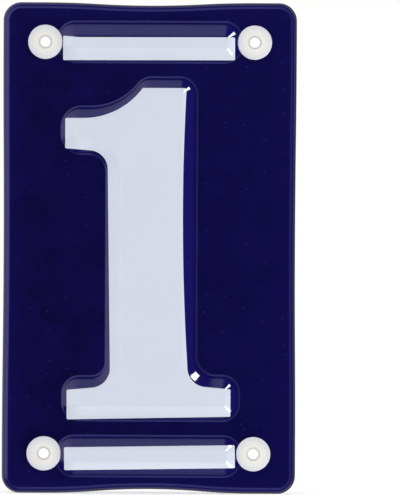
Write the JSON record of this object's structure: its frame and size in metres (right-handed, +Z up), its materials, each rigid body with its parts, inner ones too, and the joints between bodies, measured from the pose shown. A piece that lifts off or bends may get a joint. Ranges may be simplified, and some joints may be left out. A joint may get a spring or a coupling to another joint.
{
  "type": "house number plaque",
  "caption": "Pressed enamel house number plaque: a raised white figure between white bars on a blue plate, with grommeted screw holes in its corners.",
  "frame": {"origin": "centre of the plaque on the wall plane, which is the back edge of its turned rim", "axes": "+X to the right as read, +Z up, and the front faces -Y, so +Y points into the wall"},
  "size_m": [0.1196, 0.0077, 0.2],
  "materials": {
    "blue_enamel": "glossy vitreous enamel on pressed steel",
    "white_enamel": "glossy white vitreous enamel fused over the blue",
    "white_nylon": "satin moulded nylon"
  },
  "bodies": {
    "root": {"plate": "blue_enamel", "figure_coat": "white_enamel", "top_bar_coat": "white_enamel", "bottom_bar_coat": "white_enamel", "grommet_top_left": "white_nylon", "grommet_top_right": "white_nylon", "grommet_bottom_left": "white_nylon", "grommet_bottom_right": "white_nylon"}
  },
  "joints": []
}
